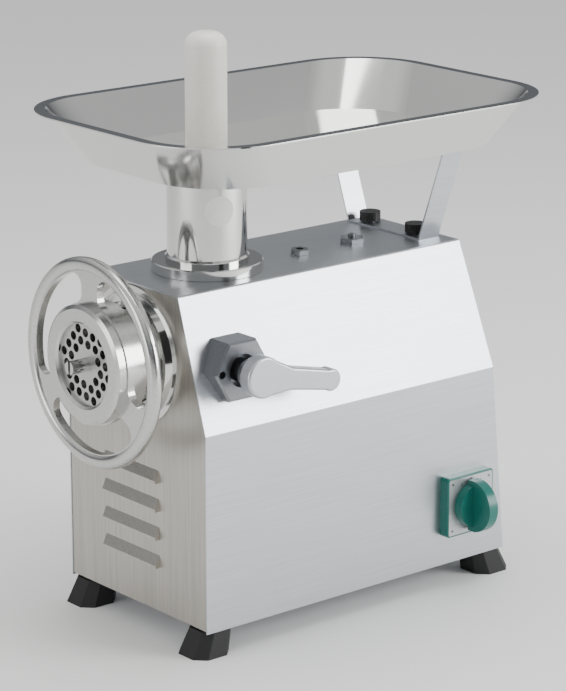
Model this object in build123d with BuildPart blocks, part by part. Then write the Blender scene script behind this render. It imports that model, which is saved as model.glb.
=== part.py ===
"""Electric meat grinder with a size 32 head, as separate pieces.

Millimetres, +Z up. The head points to -Y and the switch is on the +X side. The origin is
under the middle of the machine, on the surface that its feet stand on. Places are given as
depth, behind the cabinet's front edge, and height, above the cabinet's bottom edge.
"""
import os
from math import acos, atan, cos, degrees, pi, radians, sin, sqrt, tan

from build123d import *

os.makedirs("parts", exist_ok=True)

# ---------------------------------------------------------------- driving dimensions
# Cabinet: folded stainless sheet, with sides that lean in above a fold
cabinet_width = 230.0
cabinet_length = 409.0
cabinet_height = 341.0
fold_height = 207.0
top_width = 145.0
rear_lean = 33.0                # how far the back leans forward at the top
sheet = 1.5
sheet_bend = 2.5                # outside radius of the folds
base_sheet = 2.0
base_flange = 16.0
panel_recess = 0.6              # front panel behind the edge of the shell

# Feet
foot_height = 26.0
foot_base = 46.0
foot_top = 38.0
foot_corner = 11.0
foot_across = 192.0             # between the centres of the left and right feet
foot_end_inset = 10.0           # from each end of the cabinet to the feet's centres

# Head: barrel, auger, knife, plate and ring nut, all on the head axis
head_height = 267.0             # of the head axis
head_reach = 60.0               # plate face in front of the cabinet
plate_radius = 49.9
plate_thickness = 10.0
plate_hole_radius = 4.6
plate_hole_pitch = 12.4
plate_lattice_turn = -11.0
knife_thickness = 9.0
knife_reach = 42.0
stud_radius = 7.0
stud_length = 20.5              # in front of the plate
barrel_radius = 48.0
barrel_wall = 3.5
barrel_thread_radius = 56.0
barrel_thread_length = 32.0
barrel_rear = 146.0
barrel_back_wall = 8.0
auger_core = 19.0
auger_pitch = 62.0
auger_flight = 9.0
auger_tang = 21.0               # square end that enters the spindle
nut_radius = 61.2
nut_length = 37.0
nut_window = 42.4
nut_lip = 5.8
wheel_radius = 107.5
wheel_rim_width = 14.4
wheel_rim_depth = 13.8
rim_corner = 6.2
wheel_rim_back = 8.0            # rim's front edge behind the nut's front face
spoke_width = 26.0
spoke_thickness = 8.0
spoke_corner = 12.5

# Seat of the head, clamp on its side
seat_wall = 5.0
seat_ring_radius = 71.7
seat_ring_lip = 62.0
seat_ring_shoulder = 65.8
seat_ring_depth = 9.4
seat_flange_radius = 69.0
clamp_depth = 47.0              # of the clamp's axis
clamp_hex_flats = 60.0
clamp_proud = 1.0               # of the hexagon's outer face, past the cabinet's side
clamp_screw_radius = 12.0
clamp_recess_radius = 17.0
clamp_spigot_radius = 20.0
lever_thickness = 14.0
lever_stand_off = 35.0          # of the lever's outer face, from the hexagon's
lever_hub_radius = 21.0
lever_reach = 88.0
lever_end_radius = 11.5
lever_droop = 12.0              # degrees below level

# Feed neck, tray, plunger and the tray's rear bracket
neck_depth = 94.0
neck_radius = 41.0
neck_wall = 2.5
neck_top = 451.0
throat_radius = 30.0
throat_wall = 4.0
neck_flange_radius = 57.2
neck_flange_thickness = 10.5
neck_bead = 2.0
neck_bead_height = 5.0
plunger_radius = 21.3
plunger_top = 584.0
plunger_foot_gap = 1.2          # radial, inside the throat
plunger_foot_length = 34.0
tray_sheet = 1.2
tray_floor = 452.0
tray_depth = 50.0
tray_width = 327.0
tray_front = -45.0
tray_rear = 452.0
tray_lip = 10.0
tray_side_flare = 24.0
tray_front_flare = 29.5
tray_rear_flare = 33.0
tray_corner = 80.0
tray_collar = 14.0
bracket_depth = 353.0
bracket_shift = -7.0            # to the left of the middle plane
bracket_length = 114.0
bracket_strip = 28.0
bracket_sheet = 2.0
bracket_lean = 20.0             # degrees from upright
knob_spacing = 73.0
knob_radius = 11.4
knob_height = 10.0
knob_stud = 3.0

# Plugs on top of the gearbox, vents in the front panel
filler_place = (14.0, 205.0)    # sideways and depth
breather_place = (9.0, 281.0)
filler_flats = 18.0
breather_flats = 24.0
plug_head = 5.5
vent_count = 4
vent_width = 90.0
vent_height = 14.0
vent_pitch = 30.2
vent_first = 56.0
vent_shift = -8.0
vent_bulge = 5.0

# Switch on the right side, cable gland at the back
switch_depth = 348.3
switch_height = 66.2
switch_side = 66.0
switch_housing = 12.0
switch_plate_side = 62.0
switch_knob_radius = 23.5
switch_knob_depth = 35.5
switch_bar_length = 56.0
switch_bar_width = 12.0
switch_shaft_radius = 4.0
gland_height = 60.0
gland_shift = -62.0
gland_bore = 5.0
gland_thread = 10.0
gland_flats = 24.0

# Gear train: motor pinion, intermediate pair, output gear
motor_teeth = 22
wheel_teeth = 65
pinion_teeth = 14
output_teeth = 46
fast_module = 2.0
slow_module = 2.5
pressure_angle = 25.0
tooth_addendum = 0.9
tooth_dedendum = 1.2
backlash = 0.25
slow_face = 36.0
fast_face = 24.0
gearbox_wall = 8.0

# Motor
motor_radius = 68.0
motor_shell_wall = 4.0
rotor_radius = 36.0
rotor_length = 62.0
motor_shaft_radius = 10.0
fan_radius = 56.0
fan_blades = 9

# Clearances
running = 0.05                  # radial, a shaft in a bearing or a guide
pressed = 0.02                  # radial, pieces pressed or bolted together
face_gap = 0.1                  # between faces that move past each other
loose = 0.5                     # around pieces that pass through the sheet
air_gap = 0.35

# ---------------------------------------------------------------- worked-out places
front_y = -(tray_rear - head_reach - stud_length) / 2
half_width = cabinet_width / 2
half_top = top_width / 2
clamp_face = half_width + clamp_proud
lever_face = clamp_face + lever_stand_off
plunger_foot_radius = throat_radius - plunger_foot_gap
lean_run = half_width - half_top
lean_rise = cabinet_height - fold_height
rear_angle = degrees(atan(rear_lean / cabinet_height))
motor_ratio_gap = fast_module * (motor_teeth + wheel_teeth) / 2
output_ratio_gap = slow_module * (pinion_teeth + output_teeth) / 2
middle_height = head_height - output_ratio_gap
motor_height = middle_height - motor_ratio_gap
barrel_bore = barrel_radius - barrel_wall
seat_bore = barrel_radius + running
seat_radius = barrel_radius + seat_wall


def front_plane(depth, x=0.0, height=0.0):
    """Upright plane at a depth: local x is +X, local y is up, and it faces -Y."""
    origin = (x, front_y + depth, foot_height + height)
    return Plane(origin=origin, x_dir=(1, 0, 0), z_dir=(0, -1, 0))


def level_plane(height, x=0.0, depth=0.0):
    """Level plane at a height: local x is +X, local y is to the rear."""
    return Plane(origin=(x, front_y + depth, foot_height + height))


def side_plane(x, depth, height):
    """Upright plane that faces +X: local x is to the rear, local y is up."""
    origin = (x, front_y + depth, foot_height + height)
    return Plane(origin=origin, x_dir=(0, 1, 0), z_dir=(1, 0, 0))


def rod(front, rear, radius, x=0.0, height=0.0, mode=Mode.ADD):
    """A round bar along Y between two depths, in the open part."""
    with BuildSketch(front_plane(rear, x, height)) as section:
        Circle(radius)
    extrude(section.sketch, amount=rear - front, mode=mode)


def post(bottom, top, radius, x=0.0, depth=0.0, mode=Mode.ADD):
    """A round bar along Z between two heights, in the open part."""
    with BuildSketch(level_plane(bottom, x, depth)) as section:
        Circle(radius)
    extrude(section.sketch, amount=top - bottom, mode=mode)


def spike(inner, outer, radius, depth, height, mode=Mode.ADD):
    """A round bar along X between two distances from the middle plane, in the open part."""
    with BuildSketch(side_plane(inner, depth, height)) as section:
        Circle(radius)
    extrude(section.sketch, amount=outer - inner, mode=mode)


def save(builder, name):
    """Label a finished piece and write its file."""
    builder.part.label = name
    export_step(builder.part, f"parts/{name}.step")


# ---------------------------------------------------------------- cabinet
def cabinet_section(inset, below=0.0):
    """Outline of the cabinet across its length, moved inwards, and open at the bottom."""
    slant = sqrt(lean_run**2 + lean_rise**2)
    fold_drop = inset * (slant - lean_rise) / lean_run
    top_gain = inset * (slant - lean_run) / lean_rise
    fold = fold_height - fold_drop
    wide = half_width - inset
    narrow = half_top - top_gain
    top = cabinet_height - inset
    Polygon(
        (-wide, -below),
        (wide, -below),
        (wide, fold),
        (narrow, top),
        (-narrow, top),
        (-wide, fold),
        align=None,
    )


def rear_plane(outwards=0.0):
    """The leaning plane of the cabinet's back: local x is -X, local y is up the slope."""
    normal = Vector(0, cos(radians(rear_angle)), sin(radians(rear_angle)))
    corner = Vector(0, front_y + cabinet_length, foot_height)
    return Plane(origin=corner + normal * outwards, x_dir=(-1, 0, 0), z_dir=normal)


def trim_behind(outwards):
    """Cut the open part behind the leaning plane of the back."""
    with BuildSketch(rear_plane(outwards)) as cut:
        Rectangle(3 * cabinet_width, 3 * cabinet_height)
    extrude(cut.sketch, amount=cabinet_length, mode=Mode.SUBTRACT)


clamp_hole = clamp_spigot_radius + loose
knob_xs = [bracket_shift - knob_spacing / 2, bracket_shift + knob_spacing / 2]
plug_places = [(filler_place, filler_flats), (breather_place, breather_flats)]
plug_shank = 0.32               # of the hexagon's width across its flats
screw_radius = 2.0

with BuildPart() as housing_shell:
    with BuildSketch(front_plane(cabinet_length)):
        cabinet_section(0)
    extrude(amount=cabinet_length)
    bend_lines = housing_shell.edges().filter_by(Axis.Y).sort_by(Axis.Z)[2:]
    fillet(bend_lines, sheet_bend)
    with BuildSketch(front_plane(cabinet_length)):
        cabinet_section(sheet, below=sheet)
    extrude(amount=cabinet_length, mode=Mode.SUBTRACT)
    trim_behind(0)
    post(cabinet_height - 5, cabinet_height + 5, throat_radius + throat_wall + loose,
         depth=neck_depth, mode=Mode.SUBTRACT)
    for (plug_x, plug_depth), plug_flats in plug_places:
        post(cabinet_height - 5, cabinet_height + 5, plug_shank * plug_flats + loose,
             plug_x, plug_depth, Mode.SUBTRACT)
    for knob_x in knob_xs:
        post(cabinet_height - 5, cabinet_height + 5, knob_stud + loose, knob_x,
             bracket_depth, Mode.SUBTRACT)
    spike(half_top, half_width + 5, clamp_hole, clamp_depth, head_height, Mode.SUBTRACT)
    spike(half_width - 5, half_width + 5, 14.0, switch_depth, switch_height, Mode.SUBTRACT)
save(housing_shell, "housing_shell")

vent_heights = [vent_first + i * vent_pitch for i in range(vent_count)]
with BuildPart() as front_panel:
    with BuildSketch(front_plane(panel_recess + sheet)):
        cabinet_section(sheet + 0.3)
        with Locations((0, 0)):
            Rectangle(cabinet_width, 2 * (base_sheet + 0.3), mode=Mode.SUBTRACT)
        with Locations((0, head_height)):
            Circle(seat_radius + loose, mode=Mode.SUBTRACT)
    extrude(amount=sheet)
    for vent in vent_heights:
        hood_top = vent + vent_height / 2
        hood_bottom = vent - vent_height / 2
        out = panel_recess - vent_bulge
        with BuildSketch(Plane.YZ.offset(vent_shift - vent_width / 2)):
            with Locations((front_y, foot_height)):
                Polygon((panel_recess + 0.2, hood_top), (panel_recess + 0.2, hood_bottom),
                        (out, hood_bottom), (out, hood_bottom + 3), align=None)
        extrude(amount=vent_width)
        with BuildSketch(Plane.YZ.offset(vent_shift - vent_width / 2 + sheet)):
            with Locations((front_y, foot_height)):
                Polygon((panel_recess + sheet, hood_top - sheet),
                        (panel_recess + sheet, hood_bottom - 1),
                        (out + sheet, hood_bottom - 1), (out + sheet, hood_bottom + 2.4),
                        align=None)
        extrude(amount=vent_width - 2 * sheet, mode=Mode.SUBTRACT)
save(front_panel, "front_panel")

rear_slots = [(column, row) for row in range(6) for column in (-1, 1)]
rear_screw_places = [(s * 105, h) for s in (-1, 1) for h in (24, 110, 190)]
rear_screw_places += [(s * 52, 330) for s in (-1, 1)]
with BuildPart() as rear_panel:
    with BuildSketch(front_plane(cabinet_length + 5)):
        cabinet_section(sheet + 0.3)
        Rectangle(cabinet_width, 2 * (base_sheet + 0.3), mode=Mode.SUBTRACT)
    extrude(amount=rear_lean + 20)
    trim_behind(-0.5)
    with BuildSketch(rear_plane(-0.5 - sheet)):
        Rectangle(3 * cabinet_width, 3 * cabinet_height)
    extrude(amount=-cabinet_length, mode=Mode.SUBTRACT)
    with BuildSketch(rear_plane(-10)):
        for column, row in rear_slots:
            with Locations((column * 42, 205 + 16 * row)):
                SlotOverall(56, 5)
        with Locations((-gland_shift, gland_height)):
            Circle(gland_thread + 0.3)
        with Locations(*rear_screw_places):
            Circle(screw_radius + 0.3)
    extrude(amount=20, mode=Mode.SUBTRACT)
save(rear_panel, "rear_panel")

base_width = cabinet_width - 2 * sheet - 0.4
base_length = cabinet_length - 14.0
base_middle = base_length / 2 + 5.0
foot_xs = [-foot_across / 2, foot_across / 2]
foot_depths = [foot_end_inset + 14.0, cabinet_length - foot_end_inset - 14.0]
foot_places = [(x, depth) for depth in foot_depths for x in foot_xs]
gearbox_bolt_places = [(x, depth) for x in (-40, 40) for depth in (195.0, 270.0)]
with BuildPart() as base_plate:
    with BuildSketch(level_plane(0, depth=base_middle)):
        Rectangle(base_width, base_length)
    extrude(amount=base_flange)
    with BuildSketch(level_plane(base_sheet, depth=base_middle)):
        Rectangle(base_width - 2 * base_sheet, base_length + 1)
    extrude(amount=base_flange, mode=Mode.SUBTRACT)
    for x, depth in foot_places:
        post(-1, base_sheet + 1, 3.3, x, depth, Mode.SUBTRACT)
    for x, depth in gearbox_bolt_places:
        post(-1, base_sheet + 1, 4.3, x, depth, Mode.SUBTRACT)
    with BuildSketch(level_plane(-1, depth=motor_radius + 22)):
        with GridLocations(0, 14, 1, 6):
            SlotOverall(70, 5)
    extrude(amount=base_sheet + 2, mode=Mode.SUBTRACT)
save(base_plate, "base_plate")

with BuildPart() as panel_screws:
    for place in rear_screw_places:
        with BuildSketch(rear_plane(-0.5)):
            with Locations(place):
                Circle(4.0)
        extrude(amount=2.2)
        with BuildSketch(rear_plane(-9)):
            with Locations(place):
                Circle(screw_radius)
        extrude(amount=8.6)
save(panel_screws, "panel_screws")

# ---------------------------------------------------------------- feet
foot_names = ["foot_front_left", "foot_front_right", "foot_rear_left", "foot_rear_right"]
foot_splay = 14.0               # bottoms stand further out along the cabinet than the tops
for foot_name, (foot_x, foot_depth) in zip(foot_names, foot_places):
    out = -foot_splay if foot_depth < cabinet_length / 2 else foot_splay
    with BuildPart() as foot:
        with BuildSketch(level_plane(-foot_height, foot_x, foot_depth + out)):
            Rectangle(foot_base, foot_base)
            chamfer(vertices(), foot_corner)
        with BuildSketch(level_plane(-0.05, foot_x, foot_depth + out / 3)):
            Rectangle(foot_top, foot_top)
            chamfer(vertices(), foot_corner * foot_top / foot_base)
        loft()
        post(-foot_height - 1, -8, 6.5, foot_x, foot_depth, Mode.SUBTRACT)
        post(-9, 1, 3.2, foot_x, foot_depth, Mode.SUBTRACT)
    save(foot, foot_name)

with BuildPart() as foot_screws:
    for foot_x, foot_depth in foot_places:
        post(-12.5, -8, 5.6, foot_x, foot_depth)
        post(-8.2, base_sheet + 8, 3.0, foot_x, foot_depth)
        with BuildSketch(level_plane(base_sheet + 0.05, foot_x, foot_depth)):
            RegularPolygon(5.5, 6)
        extrude(amount=5)
save(foot_screws, "foot_screws")

# ---------------------------------------------------------------- seat of the head
nose_front = barrel_rear + 3.0
nose_radius = barrel_radius
front_wall = barrel_rear + 20.0
boss_outer = clamp_spigot_radius + 9.0
boss_end = half_width - lean_run * (head_height + boss_outer - fold_height) / lean_rise
boss_end -= 2 * sheet + 3.0
seat_bolt_angles = [45, 135, 225, 315]
seat_bolt_circle = seat_radius + 8.0


def around(radius, angle):
    """Sideways and upward place on a circle about the head axis."""
    return (radius * cos(radians(angle)), radius * sin(radians(angle)))


with BuildPart() as head_seat:
    rod(panel_recess + sheet + 0.2, front_wall, seat_radius, height=head_height)
    rod(front_wall - 10, front_wall, seat_flange_radius, height=head_height)
    spike(0, boss_end, boss_outer, clamp_depth, head_height)
    post(head_height, cabinet_height - sheet - 0.5, throat_radius + throat_wall + 5,
         depth=neck_depth)
    rod(-1, front_wall + 1, seat_bore, height=head_height, mode=Mode.SUBTRACT)
    post(head_height, cabinet_height, throat_radius + throat_wall + running, depth=neck_depth,
         mode=Mode.SUBTRACT)
    spike(0, half_width, clamp_spigot_radius + pressed, clamp_depth, head_height,
          Mode.SUBTRACT)
    for angle in seat_bolt_angles:
        x, up = around(seat_bolt_circle, angle)
        rod(front_wall - 11, front_wall + 1, 3.05, x, head_height + up, Mode.SUBTRACT)
save(head_seat, "head_seat")


ring_face = 7.3
seat_ring_profile = [
    (seat_bore + 1.0, panel_recess),
    (seat_bore + 1.0, -ring_face),
    (seat_ring_lip - 1.5, -ring_face),
    (seat_ring_lip, -seat_ring_depth),
    (seat_ring_lip + 1.5, -seat_ring_depth),
    (seat_ring_shoulder, -2.0),
    (seat_ring_radius, -1.6),
    (seat_ring_radius, panel_recess - 0.1),
    (seat_radius + 0.2, panel_recess - 0.1),
    (seat_radius + 0.2, panel_recess),
]
head_line = Axis((0, front_y, foot_height + head_height), (0, 1, 0))
ring_slots = [(-1.4, 5.0, 18.0), (111.0, 4.0, 15.0), (-71.0, 4.0, 15.0)]
ring_dimple_angle = 48.0


def turned(points):
    """Turn a profile of (radius, depth) points about the head axis, in the open part."""
    with BuildSketch(Plane.YZ) as profile:
        with Locations((front_y, foot_height + head_height)):
            Polygon(*[(depth, radius) for radius, depth in points], align=None)
    revolve(profile.sketch, axis=head_line)


with BuildPart() as seat_ring:
    turned(seat_ring_profile)
    for angle, thick, long in ring_slots:
        x, up = around(seat_bore + 5.5, angle)
        with BuildSketch(front_plane(-3, x, head_height + up)):
            Rectangle(thick, long, rotation=angle)
        extrude(amount=10, mode=Mode.SUBTRACT)
    x, up = around(seat_bore + 7.5, ring_dimple_angle)
    rod(-12, -3, 3.0, x, head_height + up, Mode.SUBTRACT)
save(seat_ring, "seat_ring")

# ---------------------------------------------------------------- clamp on the right side
clamp_inner = seat_radius - 2.0
clamp_bore = clamp_screw_radius + running
panel_normal = Vector(lean_rise, 0, lean_run).normalized()
panel_fold = Vector(half_width, front_y, foot_height + fold_height)
clamp_pad_length = 12.0
with BuildPart() as clamp_boss:
    spike(clamp_inner, clamp_face - 10, clamp_spigot_radius, clamp_depth, head_height)
    with BuildSketch(side_plane(half_top - 20, clamp_depth, head_height)):
        RegularPolygon(clamp_hex_flats / 2, 6, major_radius=False)
    extrude(amount=clamp_face - half_top + 20)
    hexagon_edges = clamp_boss.faces().sort_by(Axis.X)[-1].edges()
    chamfer(hexagon_edges, 2.0)
    behind = Plane(origin=panel_fold + panel_normal * 0.15, x_dir=(0, 1, 0), z_dir=-panel_normal)
    with BuildSketch(behind):
        Rectangle(2 * cabinet_length, 2 * cabinet_height)
    extrude(amount=cabinet_width, mode=Mode.SUBTRACT)
    spike(clamp_inner, half_width, clamp_spigot_radius, clamp_depth, head_height)
    spike(clamp_face - 10, clamp_face + 1, clamp_recess_radius, clamp_depth, head_height,
          Mode.SUBTRACT)
    spike(0, clamp_face + 1, clamp_bore, clamp_depth, head_height, Mode.SUBTRACT)
    dimple_depth = clamp_depth - (clamp_recess_radius + clamp_hex_flats / sqrt(3)) / 2 - 0.5
    spike(clamp_face - 8, clamp_face + 1, 4.0, dimple_depth, head_height, Mode.SUBTRACT)
save(clamp_boss, "clamp_boss")

pad_inner = barrel_radius + face_gap
pad_outer = pad_inner + clamp_pad_length
with BuildPart() as clamp_pad:
    spike(0, pad_outer, clamp_screw_radius, clamp_depth, head_height)
    rod(-1, 2 * clamp_depth, barrel_radius + face_gap, height=head_height, mode=Mode.SUBTRACT)
save(clamp_pad, "clamp_pad")

with BuildPart() as clamp_screw:
    spike(pad_outer + face_gap, lever_face - 2.5, clamp_screw_radius, clamp_depth, head_height)
    for turn in range(10):
        groove = pad_outer + 8 + 3 * turn
        with BuildSketch(side_plane(groove, clamp_depth, head_height)):
            Circle(clamp_screw_radius)
            Circle(clamp_screw_radius - 1.0, mode=Mode.SUBTRACT)
        extrude(amount=1.4, mode=Mode.SUBTRACT)
save(clamp_screw, "clamp_screw")

lever_back = lever_face - lever_thickness
hub_back = clamp_face + 9.0
with BuildPart() as clamp_lever:
    with BuildSketch(side_plane(hub_back, clamp_depth, head_height)):
        Circle(clamp_screw_radius + 2.5)
    with BuildSketch(side_plane(lever_back, clamp_depth, head_height)):
        Circle(lever_hub_radius)
    loft()
    with BuildSketch(side_plane(lever_back, clamp_depth, head_height)):
        Circle(lever_hub_radius)
        with Locations(Rotation(0, 0, -lever_droop)):
            Polygon(
                (0, lever_hub_radius),
                (lever_hub_radius * 0.55, lever_hub_radius * 0.84),
                (lever_reach * 0.40, lever_end_radius * 0.98),
                (lever_reach, lever_end_radius * 0.90),
                (lever_reach, -lever_end_radius * 0.90),
                (lever_reach * 0.40, -lever_end_radius * 0.98),
                (lever_hub_radius * 0.55, -lever_hub_radius * 0.84),
                (0, -lever_hub_radius),
                align=None,
            )
            with Locations((lever_reach, 0)):
                Circle(lever_end_radius)
    extrude(amount=lever_thickness)
    fillet(clamp_lever.faces().sort_by(Axis.X)[-1].edges(), 2.5)
    spike(0, lever_face - 2.45, clamp_screw_radius + pressed, clamp_depth, head_height,
          Mode.SUBTRACT)
save(clamp_lever, "clamp_lever")

# ---------------------------------------------------------------- gearbox
case_front = front_wall
case_inside = front_wall + 10.0
slow_front = case_inside + 6.0
slow_rear = slow_front + slow_face
bridge_front = slow_rear + 6.0
bridge_rear = bridge_front + 16.0
fast_front = bridge_rear + 10.0
fast_rear = fast_front + fast_face
case_rear = fast_rear + 18.0
cover_rear = case_rear + 10.0
case_places = [(head_height, 69.5), (middle_height, 76.5), (motor_height, 62.0)]
output_shaft_radius = 20.0
output_tail_radius = 15.0
middle_shaft_radius = 10.0
bearing_inset = 6.0             # of a rear bearing inside the case's rear face
small_bearing = (14.0, middle_shaft_radius, 23.5)
spindle_front_bearing = (18.0, output_shaft_radius, 40.0)
spindle_rear_bearing = (16.0, output_tail_radius, 31.0)
spindle_bearing_start = nose_front + 8.0


def case_outline(inset):
    """Outline around the three gear circles, moved inwards by inset."""
    for (height, radius), (below, next_radius) in zip(case_places, case_places[1:]):
        lean = (next_radius - radius) / (height - below)
        across = sqrt(1 - lean**2)
        reach = radius - inset
        next_reach = next_radius - inset
        Polygon(
            (reach * across, height + reach * lean),
            (-reach * across, height + reach * lean),
            (-next_reach * across, below + next_reach * lean),
            (next_reach * across, below + next_reach * lean),
            align=None,
        )
    for height, radius in case_places:
        with Locations((0, height)):
            Circle(radius - inset)


case_foot_reach = 52.0
case_foot_thickness = 10.0
case_leg_reach = 30.0
pad_top = cabinet_height - sheet - 0.6
with BuildPart() as gearbox_case:
    with BuildSketch(front_plane(case_rear)):
        case_outline(0)
    extrude(amount=case_rear - case_front)
    with BuildSketch(front_plane(case_rear, 10, pad_top - 12)):
        Rectangle(50, 24)
    extrude(amount=case_rear - case_front - 8)
    with BuildSketch(front_plane(case_rear)):
        with Locations((0, base_sheet + 0.1)):
            Rectangle(2 * case_foot_reach, case_foot_thickness, align=(Align.CENTER, Align.MIN))
            Rectangle(2 * case_leg_reach, motor_height, align=(Align.CENTER, Align.MIN))
    extrude(amount=case_rear - case_front)
    with BuildSketch(front_plane(case_rear)):
        case_outline(gearbox_wall)
    extrude(amount=case_rear - case_inside, mode=Mode.SUBTRACT)
    rod(nose_front, case_front + 1, nose_radius, height=head_height)
    rod(nose_front - 1, case_inside + 1, output_shaft_radius + 3, height=head_height,
        mode=Mode.SUBTRACT)
    rod(nose_front + 1, case_inside + 1, spindle_front_bearing[2] + pressed,
        height=head_height, mode=Mode.SUBTRACT)
    rod(case_inside - 10, case_inside + 5, 28.0, height=middle_height)
    rod(case_inside - 10, case_inside + 6, 23.5 + pressed, height=middle_height,
        mode=Mode.SUBTRACT)
    rod(case_front - 1, case_inside + 1, 24.0, height=motor_height, mode=Mode.SUBTRACT)
    for (plug_x, plug_depth), plug_flats in plug_places:
        post(head_height + 40, cabinet_height, plug_shank * plug_flats + pressed, plug_x,
             plug_depth, Mode.SUBTRACT)
    for angle in seat_bolt_angles:
        x, up = around(seat_bolt_circle, angle)
        rod(case_front - 1, case_front + 7, 3.0 + pressed, x, head_height + up, Mode.SUBTRACT)
    for x, depth in gearbox_bolt_places:
        post(-1, 8, 4.0 + pressed, x, depth, Mode.SUBTRACT)
save(gearbox_case, "gearbox_case")

bridge_drop = 34.0              # how far the bridge reaches below the middle shaft
with BuildPart() as gearbox_cover:
    with BuildSketch(front_plane(cover_rear)):
        case_outline(0)
    extrude(amount=cover_rear - case_rear - 0.1)
    for height in (middle_height, motor_height):
        rod(case_rear - 8, cover_rear + 4, 28.0, height=height)
        rod(case_rear - 9, case_rear + 8.2, 23.5 + pressed, height=height, mode=Mode.SUBTRACT)
save(gearbox_cover, "gearbox_cover")

with BuildPart() as bearing_bridge:
    with BuildSketch(front_plane(bridge_rear)):
        case_outline(gearbox_wall + pressed)
        with Locations((0, middle_height - bridge_drop)):
            Rectangle(cabinet_width, cabinet_height, align=(Align.CENTER, Align.MAX),
                      mode=Mode.SUBTRACT)
    extrude(amount=bridge_rear - bridge_front)
    rod(bridge_front - 1, bridge_rear + 1, 31.0 + pressed, height=head_height,
        mode=Mode.SUBTRACT)
    rod(bridge_front - 1, bridge_rear + 1, 14.0, height=middle_height, mode=Mode.SUBTRACT)
save(bearing_bridge, "bearing_bridge")


def bearing(front, height, sizes):
    """A ball bearing on a shaft along Y: one ring, with its races as grooves in the faces."""
    width, inner, outer = sizes
    race = (inner + outer) / 2
    half_groove = 0.22 * (outer - inner)
    with BuildSketch(front_plane(front + width, 0, height)) as ring:
        Circle(outer)
        Circle(inner + pressed, mode=Mode.SUBTRACT)
    extrude(ring.sketch, amount=width)
    for start in (front, front + width - 1.0):
        with BuildSketch(front_plane(start + 1.0, 0, height)) as groove:
            Circle(race + half_groove)
            Circle(race - half_groove, mode=Mode.SUBTRACT)
        extrude(groove.sketch, amount=1.0, mode=Mode.SUBTRACT)


with BuildPart() as spindle_bearing_front:
    bearing(spindle_bearing_start, head_height, spindle_front_bearing)
save(spindle_bearing_front, "spindle_bearing_front")

with BuildPart() as spindle_bearing_rear:
    bearing(bridge_front, head_height, spindle_rear_bearing)
save(spindle_bearing_rear, "spindle_bearing_rear")

with BuildPart() as spindle_seal:
    rod(nose_front + 1.2, nose_front + 7.8, 40.0, height=head_height)
    rod(nose_front, nose_front + 9, output_shaft_radius + running, height=head_height,
        mode=Mode.SUBTRACT)
save(spindle_seal, "spindle_seal")

socket_gap = 0.15
with BuildPart() as drive_spindle:
    rod(nose_front + 0.5, slow_rear + 3, output_shaft_radius, height=head_height)
    rod(slow_rear + 2, bridge_rear + 2, output_tail_radius, height=head_height)
    with BuildSketch(front_plane(nose_front + 26, 0, head_height)):
        Rectangle(auger_tang + 2 * socket_gap, auger_tang + 2 * socket_gap)
    extrude(amount=30, mode=Mode.SUBTRACT)
save(drive_spindle, "drive_spindle")


# ---------------------------------------------------------------- gears
def gear_outline(teeth, module, first_tooth):
    """Corners of an involute spur gear whose first tooth points at an angle."""
    lean = radians(pressure_angle)
    pitch_radius = module * teeth / 2
    base_radius = pitch_radius * cos(lean)
    tip_radius = pitch_radius + tooth_addendum * module
    root_radius = pitch_radius - tooth_dedendum * module
    half_pitch_tooth = pi / (2 * teeth) - backlash / (4 * pitch_radius)

    def half_tooth(radius):
        """Half the angle that a tooth takes at a radius."""
        roll = acos(min(1.0, base_radius / radius))
        return half_pitch_tooth + (tan(lean) - lean) - (tan(roll) - roll)

    flank_foot = max(base_radius, root_radius)
    steps = 4
    radii = [flank_foot + (tip_radius - flank_foot) * i / steps for i in range(steps + 1)]
    if root_radius < base_radius:
        radii = [root_radius] + radii
    corners = []
    for tooth in range(teeth):
        middle = radians(first_tooth) + 2 * pi * tooth / teeth
        rising = [(radius, middle - half_tooth(radius)) for radius in radii]
        falling = [(radius, middle + half_tooth(radius)) for radius in reversed(radii)]
        corners += [(r * cos(angle), r * sin(angle)) for r, angle in rising + falling]
    return corners


def make_gear(name, teeth, module, first_tooth, front, width, height, bore):
    """A spur gear with lightened sides on a shaft along Y."""
    root = module * teeth / 2 - 2.6 * module
    hub = bore + 9.0
    with BuildPart() as gear:
        with BuildSketch(front_plane(front + width, 0, height)):
            Polygon(*gear_outline(teeth, module, first_tooth), align=None)
            Circle(bore + pressed, mode=Mode.SUBTRACT)
        extrude(amount=width)
        if root - hub > 12:
            for start in (front, front + width - 4):
                with BuildSketch(front_plane(start + 4, 0, height)) as recess:
                    Circle(root)
                    Circle(hub, mode=Mode.SUBTRACT)
                extrude(recess.sketch, amount=4, mode=Mode.SUBTRACT)
    save(gear, name)


make_gear("output_gear", output_teeth, slow_module, 270 + 180 / output_teeth, slow_front,
          slow_face, head_height, output_shaft_radius)
make_gear("middle_gear", wheel_teeth, fast_module, 270 + 180 / wheel_teeth, fast_front,
          fast_face, middle_height, middle_shaft_radius)
make_gear("motor_pinion", motor_teeth, fast_module, 90, fast_front, fast_face,
          motor_height, motor_shaft_radius)

with BuildPart() as middle_shaft:
    rod(case_inside - 9.5, case_rear + 7.5, middle_shaft_radius, height=middle_height)
    with BuildSketch(front_plane(slow_rear, 0, middle_height)):
        Polygon(*gear_outline(pinion_teeth, slow_module, 90), align=None)
    extrude(amount=slow_face)
save(middle_shaft, "middle_shaft")

# ---------------------------------------------------------------- motor
motor_rear = case_front - 0.1
bell_thickness = 12.0
core_rear = motor_rear - 30.0
core_front = core_rear - rotor_length
coil_length = 14.0
shell_front = core_front - 28.0
shell_rear = motor_rear - bell_thickness
fan_rear = shell_front - bell_thickness - 3.0
fan_width = 16.0
stator_radius = motor_radius - motor_shell_wall - pressed
stator_bore = rotor_radius + air_gap
slot_count = 24

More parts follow.
